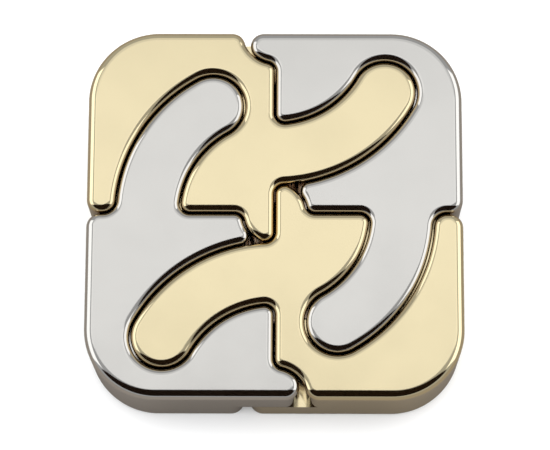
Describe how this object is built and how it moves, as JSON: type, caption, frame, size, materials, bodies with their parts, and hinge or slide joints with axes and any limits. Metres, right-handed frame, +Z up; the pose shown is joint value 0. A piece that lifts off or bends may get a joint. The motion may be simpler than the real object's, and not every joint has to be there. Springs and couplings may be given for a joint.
{
  "type": "interlocking metal puzzle",
  "caption": "Flat rounded-square puzzle of interlocking gold and silver plated castings, whose curved arms sit in each other's pockets and pivot open together.",
  "frame": {"origin": "centre of the closed square, on the surface that it lies on", "axes": "+Z up out of the upper face, +Y towards the side where the left back and right back pieces pivot on each other, +X to the right when the square is seen from above with +Y away from the viewer"},
  "size_m": [0.053, 0.053, 0.014],
  "materials": {
    "gold_plate": "satin faces, polished edges",
    "silver_plate": "satin faces, polished edges"
  },
  "bodies": {
    "gold_left_back": {"gold_piece_left_back": "gold_plate"},
    "silver_right_back": {"silver_piece_right_back": "silver_plate"},
    "gold_right_front": {"gold_piece_right_front": "gold_plate"},
    "silver_left_front": {"silver_piece_left_front": "silver_plate"}
  },
  "joints": [
    {"name": "back_pivot", "type": "hinge", "parent": "gold_left_back", "child": "silver_right_back", "pos_m": [0, 0.0265, 0], "axis": [0, 0, 1], "range_deg": [0, 65]},
    {"name": "left_pivot", "type": "hinge", "parent": "gold_left_back", "child": "silver_left_front", "pos_m": [0, 0, 0], "axis": [0, 0, 1], "range_deg": [0, 65]},
    {"name": "right_pivot", "type": "hinge", "parent": "silver_right_back", "child": "gold_right_front", "pos_m": [0, 0, 0], "axis": [0, 0, 1], "range_deg": [-65, 0]}
  ],
  "couplings": [
    {"joint": "left_pivot", "follows": "back_pivot", "ratio": 1},
    {"joint": "right_pivot", "follows": "back_pivot", "ratio": -1}
  ]
}
